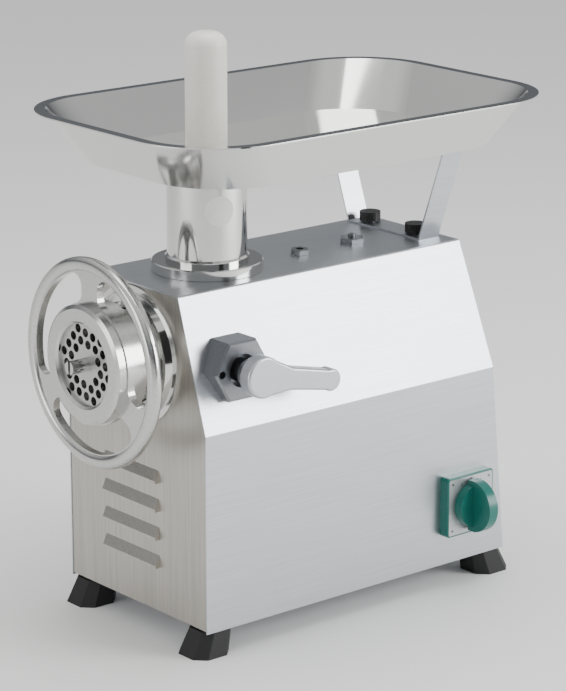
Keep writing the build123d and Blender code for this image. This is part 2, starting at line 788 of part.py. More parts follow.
with BuildPart() as motor_shell:
    rod(shell_front, shell_rear, motor_radius, height=motor_height)
    rod(shell_front - 1, shell_rear + 1, motor_radius - motor_shell_wall,
        height=motor_height, mode=Mode.SUBTRACT)
save(motor_shell, "motor_shell")

with BuildPart() as stator_core:
    with BuildSketch(front_plane(core_rear, 0, motor_height)):
        Circle(stator_radius)
        Circle(stator_bore, mode=Mode.SUBTRACT)
        with PolarLocations(stator_bore + 8.5, slot_count):
            Rectangle(17.2, 4.0, mode=Mode.SUBTRACT)
    extrude(amount=rotor_length)
save(stator_core, "stator_core")

with BuildPart() as stator_windings:
    for coil_rear in (core_front - 0.1, core_rear + 0.1 + coil_length):
        with BuildSketch(front_plane(coil_rear, 0, motor_height)):
            Circle(stator_radius - 5)
            Circle(stator_bore + 4, mode=Mode.SUBTRACT)
        extrude(amount=coil_length)
save(stator_windings, "stator_windings")

with BuildPart() as rotor_core:
    rod(core_front, core_rear, rotor_radius, height=motor_height)
    rod(core_front - 1, core_rear + 1, motor_shaft_radius + pressed, height=motor_height,
        mode=Mode.SUBTRACT)
save(rotor_core, "rotor_core")

with BuildPart() as motor_shaft:
    rod(fan_rear - fan_width - 3, case_rear + 7.5, motor_shaft_radius, height=motor_height)
save(motor_shaft, "motor_shaft")

bell_bearing_radius = 23.5
with BuildPart() as motor_bell_front:
    rod(shell_front - bell_thickness, shell_front - 0.1, motor_radius, height=motor_height)
    rod(shell_front - bell_thickness, shell_front + 7, bell_bearing_radius + 4,
        height=motor_height)
    rod(shell_front - bell_thickness + 3, shell_front + 8, bell_bearing_radius + pressed,
        height=motor_height, mode=Mode.SUBTRACT)
    rod(1, shell_front, motor_shaft_radius + 1, height=motor_height, mode=Mode.SUBTRACT)
save(motor_bell_front, "motor_bell_front")

with BuildPart() as motor_bell_rear:
    rod(shell_rear + 0.1, motor_rear, motor_radius, height=motor_height)
    rod(shell_rear - 7, motor_rear, bell_bearing_radius + 4, height=motor_height)
    rod(shell_rear - 8, motor_rear - 4, bell_bearing_radius + pressed, height=motor_height,
        mode=Mode.SUBTRACT)
    rod(shell_rear, motor_rear + 1, motor_shaft_radius + 1, height=motor_height,
        mode=Mode.SUBTRACT)
save(motor_bell_rear, "motor_bell_rear")

small_bearing_places = [
    (case_inside - 9.9, middle_height),
    (case_rear - bearing_inset, middle_height),
    (case_rear - bearing_inset, motor_height),
    (shell_front - bell_thickness + 3.1, motor_height),
    (motor_rear - 4.1 - small_bearing[0], motor_height),
]
with BuildPart() as small_bearings:
    for front, height in small_bearing_places:
        bearing(front, height, small_bearing)
save(small_bearings, "small_bearings")

with BuildPart() as motor_fan:
    rod(fan_rear - fan_width, fan_rear, 20.0, height=motor_height)
    rod(fan_rear - 2.5, fan_rear, fan_radius, height=motor_height)
    with BuildSketch(front_plane(fan_rear - 2, 0, motor_height)):
        with PolarLocations(0, fan_blades):
            with Locations((fan_radius / 2 + 9, 0)):
                Rectangle(fan_radius - 20, 2.4)
    extrude(amount=fan_width - 2)
    rod(0, fan_rear + 1, motor_shaft_radius + pressed, height=motor_height,
        mode=Mode.SUBTRACT)
save(motor_fan, "motor_fan")

cowl_front = fan_rear - fan_width - 7.0
with BuildPart() as fan_cowl:
    rod(cowl_front, shell_front - 2, motor_radius + 1.6, height=motor_height)
    rod(cowl_front + 1.4, shell_front + 1, motor_radius + 0.1, height=motor_height,
        mode=Mode.SUBTRACT)
    with BuildSketch(front_plane(cowl_front + 3, 0, motor_height)):
        for circle, count in ((20, 8), (34, 14), (48, 20)):
            with PolarLocations(circle, count):
                Circle(4.2)
    extrude(amount=5, mode=Mode.SUBTRACT)
save(fan_cowl, "fan_cowl")

# ---------------------------------------------------------------- bolts inside
bolt_radius = 3.0
bolt_head_radius = 5.0
with BuildPart() as case_bolts:
    for angle in seat_bolt_angles:
        x, up = around(seat_bolt_circle, angle)
        rod(front_wall - 10.1, front_wall + 6, bolt_radius, x, head_height + up)
        rod(front_wall - 14.6, front_wall - 10.0, bolt_head_radius, x, head_height + up)
save(case_bolts, "case_bolts")

# ---------------------------------------------------------------- barrel and what turns in it
barrel_front = -head_reach + 1.0
thread_rear = barrel_front + barrel_thread_length
plate_rear = -head_reach + plate_thickness
knife_rear = plate_rear + knife_thickness
plate_pocket = plate_radius + 0.1
knife_room = 46.0
key_radius = 2.5
barrel_profile = [
    (barrel_bore, barrel_rear - barrel_back_wall),
    (barrel_bore, knife_rear + 2.0),
    (knife_room, knife_rear + 2.0),
    (knife_room, plate_rear + face_gap),
    (plate_pocket, plate_rear + face_gap),
    (plate_pocket, barrel_front),
    (barrel_thread_radius - 1.5, barrel_front),
    (barrel_thread_radius, barrel_front + 1.5),
    (barrel_thread_radius, thread_rear),
    (barrel_radius, thread_rear + 12.0),
    (barrel_radius, barrel_rear),
    (auger_core - 1.9, barrel_rear),
    (auger_core - 1.9, barrel_rear - barrel_back_wall),
]
journal_radius = auger_core - 2.0
with BuildPart() as barrel:
    turned(barrel_profile)
    for turn in range(6):
        groove = barrel_front + 5.0 + 4.0 * turn
        with BuildSketch(front_plane(groove, 0, head_height)):
            Circle(barrel_thread_radius + 1)
            Circle(barrel_thread_radius - 1.3, mode=Mode.SUBTRACT)
        extrude(amount=1.8, mode=Mode.SUBTRACT)
    post(head_height, head_height + 2 * barrel_radius, throat_radius + throat_wall + running,
         depth=neck_depth, mode=Mode.SUBTRACT)
    rod(barrel_front - 1, plate_rear, key_radius + pressed, 0,
        head_height - plate_pocket, Mode.SUBTRACT)
save(barrel, "barrel")

with BuildPart() as plate_key:
    rod(-head_reach + 1.2, plate_rear - 0.1, key_radius, 0, head_height - plate_pocket)
save(plate_key, "plate_key")

flight_rear = barrel_rear - barrel_back_wall - 2.0
flight_front = knife_rear + 3.5
flight_length = flight_rear - flight_front
flight_radius = barrel_bore - 0.6
flight_share = 360 * auger_flight / auger_pitch
with BuildSketch(Plane.XY) as flight_section:
    Circle(auger_core)
    with BuildLine():
        flank_start = PolarLine((0, 0), flight_radius, -flight_share / 2)
        crest = CenterArc((0, 0), flight_radius, -flight_share / 2, flight_share)
        Line(crest @ 1, (0, 0))
    make_face()
flight_place = front_plane(flight_rear, 0, head_height)
flight = Solid.extrude_linear_with_rotation(
    flight_section.sketch.faces()[0],
    center=(0, 0, 0),
    normal=(0, 0, flight_length),
    angle=360 * flight_length / auger_pitch,
)
with BuildPart() as auger:
    add(flight_place * flight)
    rod(flight_rear - 1, barrel_rear + 1.0, journal_radius, height=head_height)
    tang_rear = nose_front + 24.0
    with BuildSketch(front_plane(tang_rear, 0, head_height)):
        Rectangle(auger_tang, auger_tang)
    extrude(amount=tang_rear - barrel_rear - 0.5)
    rod(knife_rear + 0.1, flight_front + 1, auger_core - 3, height=head_height)
    with BuildSketch(front_plane(knife_rear + 1, 0, head_height)):
        Rectangle(17, 17)
    extrude(amount=knife_thickness + 0.9)
    rod(-head_reach - stud_length, plate_rear + 1, stud_radius, height=head_height)
    with BuildSketch(front_plane(-head_reach - stud_length + 5, 0, head_height)):
        Rectangle(3.2, 2 * stud_radius + 2)
    extrude(amount=6, mode=Mode.SUBTRACT)
save(auger, "auger")

with BuildPart() as knife:
    with BuildSketch(front_plane(knife_rear, 0, head_height)):
        Circle(17.5)
        with PolarLocations(0, 4):
            with Locations((knife_reach / 2, 0)):
                Rectangle(knife_reach, 12)
        Rectangle(17.3, 17.3, mode=Mode.SUBTRACT)
    extrude(amount=knife_thickness - face_gap)
save(knife, "knife")

lattice = []
for row in range(-4, 5):
    for column in range(-4, 5):
        across = plate_hole_pitch * (column + row / 2)
        up = plate_hole_pitch * row * sqrt(3) / 2
        ring = max(abs(row), abs(column), abs(row + column))
        if 2 <= ring <= 3:
            lattice.append((across, up))
with BuildPart() as cutting_plate:
    with BuildSketch(front_plane(plate_rear, 0, head_height)):
        Circle(plate_radius)
        Circle(stud_radius + running, mode=Mode.SUBTRACT)
        with Locations(Rotation(0, 0, plate_lattice_turn)):
            with Locations(*lattice):
                Circle(plate_hole_radius, mode=Mode.SUBTRACT)
        with Locations((0, -plate_pocket)):
            Circle(key_radius + 0.2, mode=Mode.SUBTRACT)
    extrude(amount=plate_thickness)
save(cutting_plate, "cutting_plate")

# ---------------------------------------------------------------- ring nut with its handwheel
nut_front = -head_reach - nut_lip
nut_rear = nut_front + nut_length
rim_front = nut_front + wheel_rim_back
rim_middle = wheel_radius - wheel_rim_width / 2
rim_inner = wheel_radius - wheel_rim_width
spoke_rear = rim_front + (wheel_rim_depth + spoke_thickness) / 2 + 0.5
gap_inner = nut_radius + 1.5
gap_outer = rim_inner - 0.4
nut_bore = barrel_thread_radius + 0.2
nut_profile = [
    (nut_window, -head_reach - face_gap),
    (nut_window, nut_front + 2.5),
    (nut_window + 2.5, nut_front),
    (nut_radius - 4.0, nut_front),
    (nut_radius, nut_front + 2.5),
    (nut_radius, spoke_rear - spoke_thickness),
    (rim_middle, spoke_rear - spoke_thickness),
    (rim_middle, spoke_rear),
    (nut_radius, spoke_rear),
    (nut_radius, nut_rear - 1.5),
    (nut_radius - 1.5, nut_rear),
    (nut_bore, nut_rear),
    (nut_bore, -head_reach - face_gap),
]
with BuildPart() as ring_nut:
    with BuildSketch(Plane.YZ) as nut_section:
        with Locations((front_y, foot_height + head_height)):
            Polygon(*[(depth, radius) for radius, depth in nut_profile], align=None)
        with Locations((front_y + rim_front + wheel_rim_depth / 2,
                        foot_height + head_height + rim_middle)):
            RectangleRounded(wheel_rim_depth, wheel_rim_width, rim_corner)
    revolve(nut_section.sketch, axis=head_line)
    with BuildSketch(front_plane(spoke_rear + 5, 0, head_height)) as gaps:
        Circle(gap_outer)
        Circle(gap_inner, mode=Mode.SUBTRACT)
        for spoke_angle in (90, 210, 330):
            with Locations(Rotation(0, 0, spoke_angle)):
                Rectangle(wheel_radius, spoke_width, align=(Align.MIN, Align.CENTER),
                          mode=Mode.SUBTRACT)
        fillet(gaps.vertices(), spoke_corner)
    extrude(gaps.sketch, amount=spoke_thickness + 10, mode=Mode.SUBTRACT)
save(ring_nut, "ring_nut")

# ---------------------------------------------------------------- feed neck, plunger, tray
neck_seat = cabinet_height + 0.3
throat_bottom = head_height + sqrt(barrel_bore**2 - throat_radius**2) + 1.0
neck_line = Axis((0, front_y + neck_depth, foot_height), (0, 0, 1))
funnel_top = neck_seat + 40.0


def turned_on_neck(points):
    """Turn a profile of (radius, height) points about the neck's axis, in the open part."""
    with BuildSketch(Plane.XZ.offset(-front_y - neck_depth)) as profile:
        with Locations((0, foot_height)):
            Polygon(*points, align=None)
    revolve(profile.sketch, axis=neck_line)


flange_top = neck_seat + neck_flange_thickness
neck_profile = [
    (throat_radius, throat_bottom),
    (throat_radius + throat_wall, throat_bottom),
    (throat_radius + throat_wall, neck_seat),
    (neck_flange_radius, neck_seat),
    (neck_flange_radius, flange_top - 1.0),
    (neck_flange_radius - 1.0, flange_top),
    (neck_radius + neck_bead, flange_top),
    (neck_radius + neck_bead, flange_top + neck_bead_height - 1.0),
    (neck_radius, flange_top + neck_bead_height + 1.0),
    (neck_radius, neck_top),
    (neck_radius - neck_wall, neck_top),
    (neck_radius - neck_wall, funnel_top),
    (throat_radius, neck_seat + 10.0),
]
with BuildPart() as feed_neck:
    turned_on_neck(neck_profile)
    rod(neck_depth - 60, neck_depth + 60, barrel_bore, height=head_height,
        mode=Mode.SUBTRACT)
save(feed_neck, "feed_neck")

plunger_bottom = head_height + barrel_bore + 4.0
foot_top_height = plunger_bottom + plunger_foot_length
plunger_profile = [
    (0, plunger_bottom),
    (plunger_foot_radius - 3, plunger_bottom),
    (plunger_foot_radius, plunger_bottom + 3),
    (plunger_foot_radius, foot_top_height),
    (plunger_radius, foot_top_height + 10),
    (plunger_radius, plunger_top - 20),
    (0, plunger_top - 20),
]
with BuildPart() as plunger:
    turned_on_neck(plunger_profile)
    post(plunger_top - 25, plunger_top, plunger_radius, depth=neck_depth)
    fillet(plunger.edges().group_by(Axis.Z)[-1], 14.0)
save(plunger, "plunger")

tray_half = tray_width / 2 - tray_lip
tray_floor_half = tray_half - tray_side_flare
tray_top_height = tray_floor + tray_depth
wall_top_ends = (tray_front + tray_lip, tray_rear - tray_lip)
floor_ends = (wall_top_ends[0] + tray_front_flare, wall_top_ends[1] - tray_rear_flare)


def tray_outline(half, ends, corner):
    """A rectangle with round corners between two depths, in the open sketch."""
    with Locations((0, (ends[0] + ends[1]) / 2)):
        RectangleRounded(2 * half, ends[1] - ends[0], corner)


tray_ends = (tray_front, tray_rear)
with BuildPart() as tray:
    with BuildSketch(level_plane(tray_floor)):
        tray_outline(tray_floor_half, floor_ends, tray_corner)
    with BuildSketch(level_plane(tray_top_height)):
        tray_outline(tray_half, wall_top_ends, tray_corner)
    loft()
    with BuildSketch(level_plane(tray_top_height - tray_sheet)):
        tray_outline(tray_half + tray_lip, tray_ends, tray_corner + tray_lip)
    extrude(amount=tray_sheet)
    inner_ends = (floor_ends[0] + tray_sheet, floor_ends[1] - tray_sheet)
    inner_top_ends = (wall_top_ends[0] + tray_sheet, wall_top_ends[1] - tray_sheet)
    with BuildSketch(level_plane(tray_floor + tray_sheet)):
        tray_outline(tray_floor_half - tray_sheet, inner_ends, tray_corner - tray_sheet)
    with BuildSketch(level_plane(tray_top_height)):
        tray_outline(tray_half - tray_sheet, inner_top_ends, tray_corner - tray_sheet)
    loft(mode=Mode.SUBTRACT)
    post(tray_floor - tray_collar, tray_floor + 0.5, neck_radius + 0.3 + tray_sheet,
         depth=neck_depth)
    post(tray_floor - tray_collar - 1, tray_floor, neck_radius + 0.3, depth=neck_depth,
         mode=Mode.SUBTRACT)
    post(tray_floor - 1, tray_floor + 5, neck_radius - neck_wall, depth=neck_depth,
         mode=Mode.SUBTRACT)
save(tray, "tray")

# ---------------------------------------------------------------- rear bracket and its knobs
arm_rise = tray_floor - 0.4 - cabinet_height
arm_run = arm_rise * tan(radians(bracket_lean))
half_strip = bracket_length / 2
lean_thick = bracket_sheet / cos(radians(bracket_lean))
bracket_base = cabinet_height + 0.05
with BuildPart() as tray_bracket:
    with BuildSketch(front_plane(bracket_depth + bracket_strip / 2, bracket_shift)):
        Polygon(
            (-half_strip, bracket_base),
            (half_strip, bracket_base),
            (half_strip + arm_run, bracket_base + arm_rise),
            (half_strip + arm_run - lean_thick, bracket_base + arm_rise),
            (half_strip - lean_thick + bracket_sheet * arm_run / arm_rise,
             bracket_base + bracket_sheet),
            (-half_strip + lean_thick - bracket_sheet * arm_run / arm_rise,
             bracket_base + bracket_sheet),
            (-half_strip - arm_run + lean_thick, bracket_base + arm_rise),
            (-half_strip - arm_run, bracket_base + arm_rise),
            align=None,
        )
    extrude(amount=bracket_strip)
    for knob_x in knob_xs:
        post(cabinet_height - 1, cabinet_height + 5, knob_stud + 0.4, knob_x, bracket_depth,
             Mode.SUBTRACT)
save(tray_bracket, "tray_bracket")

washer_bottom = bracket_base + bracket_sheet + face_gap
washer_thickness = 1.2
knob_bottom = washer_bottom + washer_thickness + face_gap
for side_name, knob_x in zip(("left", "right"), knob_xs):
    with BuildPart() as washer:
        post(washer_bottom, washer_bottom + washer_thickness, 7.0, knob_x, bracket_depth)
        post(0, cabinet_height * 2, knob_stud + running, knob_x, bracket_depth,
             Mode.SUBTRACT)
    save(washer, f"bracket_washer_{side_name}")
    with BuildPart() as knob:
        with BuildSketch(level_plane(knob_bottom, knob_x, bracket_depth)):
            Circle(knob_radius)
            with PolarLocations(knob_radius + 0.35, 30):
                Circle(0.7, mode=Mode.SUBTRACT)
        extrude(amount=knob_height)
        post(knob_bottom - 18, knob_bottom + 1, knob_stud, knob_x, bracket_depth)
    save(knob, f"bracket_knob_{side_name}")

# ---------------------------------------------------------------- plugs on top
plug_names = ["filler_plug", "breather_plug"]
for plug_name, ((plug_x, plug_depth), plug_flats) in zip(plug_names, plug_places):
    plug_seat = cabinet_height + 0.1
    with BuildPart() as plug:
        with BuildSketch(level_plane(plug_seat, plug_x, plug_depth)):
            RegularPolygon(plug_flats / 2, 6, major_radius=False, rotation=20)
        extrude(amount=plug_head)
        chamfer(plug.faces().sort_by(Axis.Z)[-1].edges(), 0.8)
        post(plug_seat - 14, plug_seat + 1, plug_shank * plug_flats, plug_x, plug_depth)
        if plug_name == "filler_plug":
            with BuildSketch(level_plane(plug_seat + 1.5, plug_x, plug_depth)):
                RegularPolygon(4.0, 6, major_radius=False)
            extrude(amount=plug_head, mode=Mode.SUBTRACT)
        else:
            post(plug_seat + plug_head - 1, plug_seat + plug_head + 3.5, 4.2, plug_x,
                 plug_depth)
            post(plug_seat + plug_head + 1, plug_seat + plug_head + 5, 1.6, plug_x,
                 plug_depth, Mode.SUBTRACT)
    save(plug, plug_name)

# ---------------------------------------------------------------- switch
switch_face = half_width + switch_housing
with BuildPart() as switch_housing_part:
    with BuildSketch(side_plane(half_width + 0.1, switch_depth, switch_height)):
        RectangleRounded(switch_side, switch_side, 4)
    extrude(amount=switch_housing)
    fillet(switch_housing_part.faces().sort_by(Axis.X)[-1].edges(), 1.5)
    with BuildSketch(side_plane(switch_face - 0.9, switch_depth, switch_height)):
        RectangleRounded(switch_plate_side + 0.2, switch_plate_side + 0.2, 2)
    extrude(amount=5, mode=Mode.SUBTRACT)
    spike(half_width - 5, switch_face + 1, 11.0, switch_depth, switch_height, Mode.SUBTRACT)
save(switch_housing_part, "switch_housing")

with BuildPart() as switch_plate:
    with BuildSketch(side_plane(switch_face - 0.85, switch_depth, switch_height)):
        RectangleRounded(switch_plate_side, switch_plate_side, 2)
        Circle(11.0, mode=Mode.SUBTRACT)
    extrude(amount=1.0)
save(switch_plate, "switch_plate")

contact_depth = 48.0
with BuildPart() as switch_body:
    with BuildSketch(side_plane(half_width - sheet - 0.3, switch_depth, switch_height)):
        RectangleRounded(44, 44, 4)
    extrude(amount=-contact_depth)
    spike(half_width - 5, half_width + 2, 10.0, switch_depth, switch_height)
    spike(half_width - 30, half_width + 3, switch_shaft_radius + running, switch_depth,
          switch_height, Mode.SUBTRACT)
save(switch_body, "switch_body")

knob_back = switch_face + 0.6
with BuildPart() as switch_knob:
    spike(knob_back, knob_back + 10, switch_knob_radius, switch_depth, switch_height)
    with BuildSketch(front_plane(switch_depth + switch_bar_width / 2, 0, switch_height)):
        with BuildLine():
            top_corner = (knob_back + 12, switch_bar_length / 2)
            low_corner = (knob_back + 12, -switch_bar_length / 2)
            Line((knob_back + 2, -switch_bar_length / 2), (knob_back + 2, switch_bar_length / 2))
            Line((knob_back + 2, switch_bar_length / 2), top_corner)
            ThreePointArc(top_corner, (knob_back + switch_knob_depth, 0), low_corner)
            Line(low_corner, (knob_back + 2, -switch_bar_length / 2))
        make_face()
    extrude(amount=switch_bar_width)
    spike(half_width - 25, knob_back + 4, switch_shaft_radius, switch_depth, switch_height)
save(switch_knob, "switch_knob")

# ---------------------------------------------------------------- electrics at the back
with BuildPart() as run_capacitor:
    post(base_sheet + 0.1, base_sheet + 90, 20.0, -60, cabinet_length - 60)
    fillet(run_capacitor.edges().group_by(Axis.Z)[-1], 3)
save(run_capacitor, "run_capacitor")

gland_centre = (-gland_shift, gland_height)
with BuildPart() as cable_gland:
    with BuildSketch(rear_plane(-0.4)):
        with Locations(gland_centre):
            RegularPolygon(gland_flats / 2, 6, major_radius=False)
    extrude(amount=6)
    with BuildSketch(rear_plane(5)):
        with Locations(gland_centre):
            Circle(gland_flats / 2 - 1)
    extrude(amount=10, taper=6)
    with BuildSketch(rear_plane(-12)):
        with Locations(gland_centre):
            Circle(gland_thread)
    extrude(amount=13)
    with BuildSketch(rear_plane(-2.2)):
        with Locations(gland_centre):
            RegularPolygon(gland_flats / 2, 6, major_radius=False)
    extrude(amount=-5)
    with BuildSketch(rear_plane(-20)):
        with Locations(gland_centre):
            Circle(gland_bore)
    extrude(amount=50, mode=Mode.SUBTRACT)
save(cable_gland, "cable_gland")
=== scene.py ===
"""Looks of the electric meat grinder: finishes, small marks, light and camera, in metres."""
import logging
import math
from dataclasses import dataclass, field
from enum import Enum

import bpy
from mathutils import Matrix, Vector


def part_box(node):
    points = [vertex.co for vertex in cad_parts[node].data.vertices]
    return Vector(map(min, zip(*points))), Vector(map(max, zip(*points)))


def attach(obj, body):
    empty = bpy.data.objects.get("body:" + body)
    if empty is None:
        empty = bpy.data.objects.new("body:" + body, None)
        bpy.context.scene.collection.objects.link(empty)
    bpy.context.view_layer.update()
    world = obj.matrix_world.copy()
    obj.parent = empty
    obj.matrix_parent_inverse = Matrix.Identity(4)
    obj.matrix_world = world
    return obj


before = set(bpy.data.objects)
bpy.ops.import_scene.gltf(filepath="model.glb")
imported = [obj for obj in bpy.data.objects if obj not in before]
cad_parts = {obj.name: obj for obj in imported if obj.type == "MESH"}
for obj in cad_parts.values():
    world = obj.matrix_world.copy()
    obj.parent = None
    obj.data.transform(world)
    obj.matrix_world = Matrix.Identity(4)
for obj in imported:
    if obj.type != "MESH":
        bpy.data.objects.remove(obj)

LOG = logging.getLogger("meat_grinder")
MM = 0.001


class Pattern(Enum):
    """How a surface was made, which sets the way its fine marks run."""

    PLAIN = "plain"
    BRUSHED_UP = "brushed_up"
    BRUSHED_ALONG = "brushed_along"
    GRAIN = "grain"


STRETCH: dict[Pattern, tuple[float, float, float]] = {
    Pattern.BRUSHED_UP: (1.0, 1.0, 0.01),
    Pattern.BRUSHED_ALONG: (1.0, 0.01, 1.0),
    Pattern.GRAIN: (1.0, 1.0, 1.0),
}


def linear(hex_colour: str) -> tuple[float, float, float, float]:
    """Turn an sRGB hex colour to linear.

    Args:
        hex_colour: Six hex digits, without a leading mark.

    Returns:
        Red, green, blue and alpha, linear.
    """
    parts = [int(hex_colour[i:i + 2], 16) / 255 for i in (0, 2, 4)]
    flat = [c / 12.92 if c <= 0.04045 else ((c + 0.055) / 1.055) ** 2.4 for c in parts]
    return (flat[0], flat[1], flat[2], 1.0)


def add_node(tree: bpy.types.NodeTree, kind: str, settings: dict | None = None,
             inputs: dict | None = None) -> bpy.types.Node:
    """Add a node, with its settings, input values and links.

    Args:
        tree: The tree that the node goes in.
        kind: Blender's name for the kind of node.
        settings: Values of the node's own properties.
        inputs: A value or a socket to link, for each input by name or number.

    Returns:
        The node.
    """
    node = tree.nodes.new(kind)
    for name, value in (settings or {}).items():
        setattr(node, name, value)
    for name, value in (inputs or {}).items():
        if isinstance(value, bpy.types.NodeSocket):
            tree.links.new(value, node.inputs[name])
        else:
            node.inputs[name].default_value = value
    return node


@dataclass(frozen=True)
class Finish:
    """A real material and how its surface was made."""

    name: str
    colour: str
    metallic: float
    roughness: float
    pattern: Pattern = Pattern.PLAIN
    mark_colour: str = ""
    mark_mm: float = 1.0
    relief_mm: float = 0.01
    mark_detail: float = 3.0
    relief_strength: float = 0.5
    dark_stop: float = 0.3
    pale_stop: float = 0.7

    def build(self) -> bpy.types.Material:
        """Make the material on first use.

        Returns:
            The material.
        """
        made = bpy.data.materials.get(self.name)
        if made:
            return made
        made = bpy.data.materials.new(self.name)
        made.use_nodes = True
        tree = made.node_tree
        shader = tree.nodes["Principled BSDF"]
        shader.inputs["Metallic"].default_value = self.metallic
        shader.inputs["Roughness"].default_value = self.roughness
        if self.pattern is Pattern.PLAIN:
            shader.inputs["Base Color"].default_value = linear(self.colour)
            return made
        per_metre = 1.0 / (self.mark_mm * MM)
        scale = tuple(per_metre * part for part in STRETCH[self.pattern])
        place = add_node(tree, "ShaderNodeTexCoord")
        mapped = add_node(tree, "ShaderNodeMapping", None,
                          {"Vector": place.outputs["Object"], "Scale": scale})
        marks = add_node(tree, "ShaderNodeTexNoise", None,
                         {"Vector": mapped.outputs["Vector"], "Scale": 1.0,
                          "Detail": self.mark_detail})
        ramp = add_node(tree, "ShaderNodeValToRGB", None, {"Fac": marks.outputs["Fac"]})
        ramp.color_ramp.elements[0].position = self.dark_stop
        ramp.color_ramp.elements[0].color = linear(self.mark_colour)
        ramp.color_ramp.elements[1].position = self.pale_stop
        ramp.color_ramp.elements[1].color = linear(self.colour)
        tree.links.new(ramp.outputs["Color"], shader.inputs["Base Color"])
        bump = add_node(tree, "ShaderNodeBump", None,
                        {"Height": marks.outputs["Fac"], "Strength": self.relief_strength,
                         "Distance": self.relief_mm * MM})
        tree.links.new(bump.outputs["Normal"], shader.inputs["Normal"])
        return made


# Brushing, grinding and blasting leave marks of about 0.1 mm or less, which are too fine to
# show. Each mark_mm is as coarse as the marks need to be to show.

# Folded stainless sheet, belt-brushed upright: fine lines, and blurred reflections
BRUSHED_PANEL = Finish("stainless_sheet_brushed_upright", "C2BEB7", metallic=1.0, roughness=0.36,
                       pattern=Pattern.BRUSHED_UP, mark_colour="ADA9A2", mark_mm=1.2,
                       relief_mm=0.004)
# The same sheet brushed along the cabinet: lighter, and a little smoother
BRUSHED_SHELL = Finish("stainless_sheet_brushed_along", "CBCED2", metallic=1.0, roughness=0.33,
                       pattern=Pattern.BRUSHED_ALONG, mark_colour="BEC2C7", mark_mm=1.2,
                       relief_mm=0.004)
# Electropolished stainless: nearly a mirror, with clear reflections
POLISHED = Finish("stainless_polished", "D6D6D4", metallic=1.0, roughness=0.10)
# Cast stainless, polished by hand: bright, with softened reflections
CAST_POLISHED = Finish("cast_stainless_satin", "CBCBC9", metallic=1.0, roughness=0.2,
                       pattern=Pattern.GRAIN, mark_colour="BFBFBD", mark_mm=3.0,
                       relief_mm=0.003)
# Surface-ground tool steel: light grey and even
GROUND = Finish("tool_steel_ground", "C2C2C0", metallic=1.0, roughness=0.34,
                pattern=Pattern.GRAIN, mark_colour="B2B2B0", mark_mm=0.8, relief_mm=0.004)
# Machined mild steel: darker, with a satin sheen
MACHINED = Finish("steel_machined", "8D8F92", metallic=1.0, roughness=0.32,
                  pattern=Pattern.GRAIN, mark_colour="7A7C80", mark_mm=0.9, relief_mm=0.006)
# Die-cast aluminium, bead blasted: pale silver and soft
DIE_CAST = Finish("aluminium_die_cast", "C9CCD1", metallic=1.0, roughness=0.38,
                  pattern=Pattern.GRAIN, mark_colour="BBBEC4", mark_mm=0.7, relief_mm=0.012)
# Enamelled copper wire: warm brown and glossy
COPPER = Finish("copper_wire_enamelled", "B46A3C", metallic=1.0, roughness=0.3,
                pattern=Pattern.GRAIN, mark_colour="8C4E2A", mark_mm=0.8, relief_mm=0.02)
# Moulded polyethylene: milky white, faintly waxy
POLYETHYLENE = Finish("polyethylene_moulded", "EFEEE6", metallic=0.0, roughness=0.42,
                      pattern=Pattern.GRAIN, mark_colour="E8E7DE", mark_mm=2.5,
                      relief_mm=0.01)
# Moulded ABS: teal and fairly glossy
TEAL_ABS = Finish("abs_moulded_teal", "0B6A60", metallic=0.0, roughness=0.3,
                  pattern=Pattern.GRAIN, mark_colour="0A6157", mark_mm=1.5, relief_mm=0.006)
# Anodised aluminium label plate: pale grey, with a soft metal sheen
LABEL_PLATE = Finish("aluminium_anodised_label", "C4C6C8", metallic=0.8, roughness=0.36,
                     pattern=Pattern.BRUSHED_ALONG, mark_colour="B9BBBE", mark_mm=0.8,
                     relief_mm=0.002)
# Moulded nylon: black and satin
BLACK_NYLON = Finish("nylon_moulded_black", "161616", metallic=0.0, roughness=0.42,
                     pattern=Pattern.GRAIN, mark_colour="101010", mark_mm=1.0, relief_mm=0.02)
# Natural rubber: black and dull
RUBBER = Finish("rubber_moulded_black", "151515", metallic=0.0, roughness=0.62,
                pattern=Pattern.GRAIN, mark_colour="101010", mark_mm=1.4, relief_mm=0.03)
# Blank vinyl sticker: off-white, with a slight gloss
BLANK_VINYL = Finish("vinyl_blank", "E9E9E6", metallic=0.0, roughness=0.4)
# Printing ink: black and satin
BLACK_INK = Finish("ink_black", "18181A", metallic=0.0, roughness=0.5)
# Studio paper: white and dull
STUDIO_PAPER = Finish("studio_paper", "F2F2F1", metallic=0.0, roughness=0.8)
# Black studio card: dull, and seen only in reflections
BLACK_CARD = Finish("studio_black_card", "0C0C0D", metallic=0.0, roughness=0.9)


def dress(node: str, finish: Finish) -> None:
    """Give a CAD node one finish all over.

    Args:
        node: The node's name.
        finish: Its finish.
    """
    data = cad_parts[node].data
    data.materials.clear()
    data.materials.append(finish.build())


def mesh_piece(name: str, vertices: list[Vector], faces: list[tuple[int, ...]],
               finishes: list[Finish], body: str) -> bpy.types.Object:
    """Make a mesh piece at the origin that rides on a body.

    Args:
        name: The piece's name.
        vertices: Its points, in metres.
        faces: Its faces, as vertex numbers.
        finishes: Its finishes; the first is on every face.
        body: The CAD body that it moves with.

    Returns:
        The object.
    """
    data = bpy.data.meshes.new(name)
    data.from_pydata(vertices, [], faces)
    data.update()
    for finish in finishes:
        data.materials.append(finish.build())
    made = bpy.data.objects.new(name, data)
    bpy.context.scene.collection.objects.link(made)
    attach(made, body)
    LOG.info("made %s on %s", name, body)
    return made


@dataclass
class Assembly:
    """A group of CAD nodes with their finishes."""

    finishes: dict[str, Finish] = field(default_factory=dict)

    def build(self) -> None:
        """Dress each node of the group."""
        for node, finish in self.finishes.items():
            dress(node, finish)
        LOG.info("%s: %d nodes", type(self).__name__, len(self.finishes))


